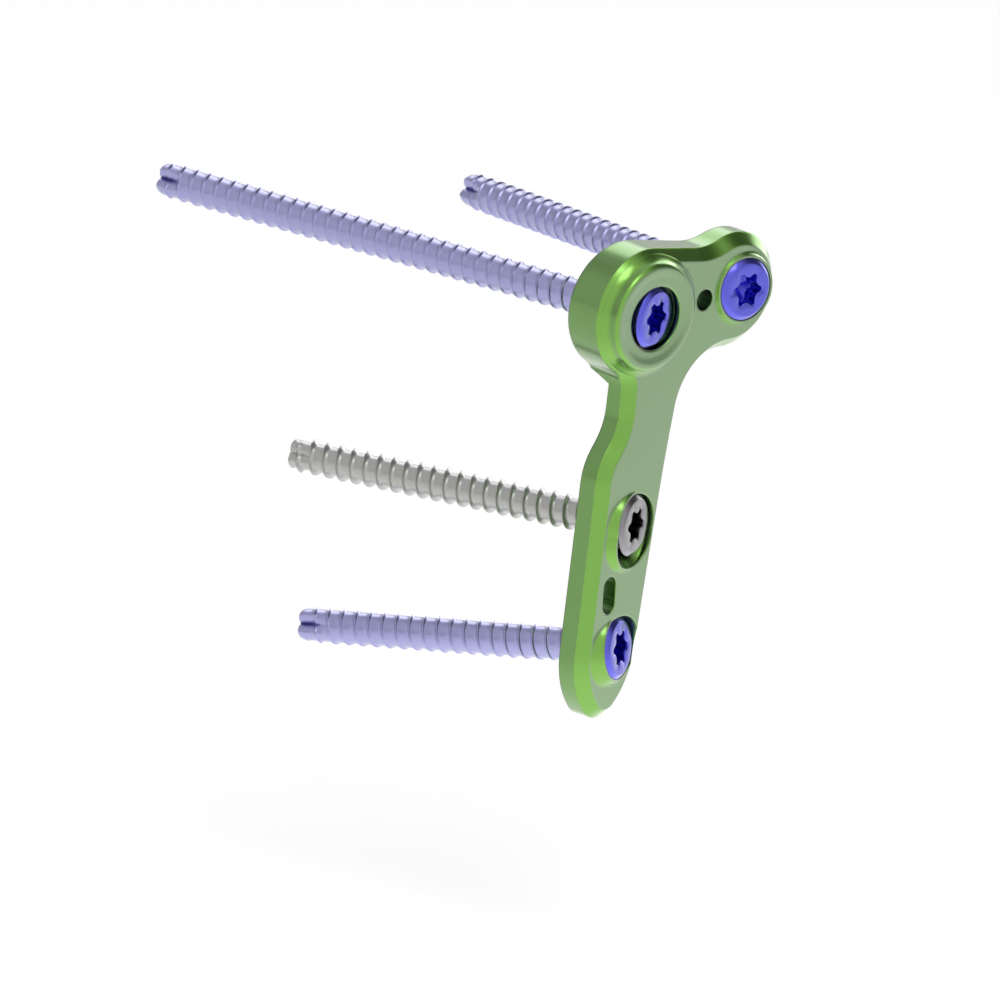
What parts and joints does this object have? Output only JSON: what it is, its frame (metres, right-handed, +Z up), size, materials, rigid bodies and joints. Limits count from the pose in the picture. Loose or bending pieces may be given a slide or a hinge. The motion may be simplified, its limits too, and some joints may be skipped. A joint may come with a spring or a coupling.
{
  "type": "orthopedic bone plate with screws",
  "caption": "Slim bone plate with a thick raised boss and a side lobe at its head, held by star-drive locking screws that splay behind it.",
  "frame": {"origin": "point on the bone side of the plate's shaft where the axis of the distal screw leaves it", "axes": "+Z up the shaft to the head, +Y from the plate into the bone, +X right seen from outside"},
  "size_m": [0.0403, 0.0768, 0.0616],
  "materials": {
    "plate_green": "satin green anodised titanium",
    "screw_blue": "blue violet anodised titanium, glossy",
    "screw_grey": "bare titanium alloy, turned and polished"
  },
  "bodies": {
    "root": {"plate": "plate_green", "front_screw": "screw_blue", "rear_screw": "screw_blue", "middle_screw": "screw_grey", "distal_screw": "screw_blue"}
  },
  "joints": []
}
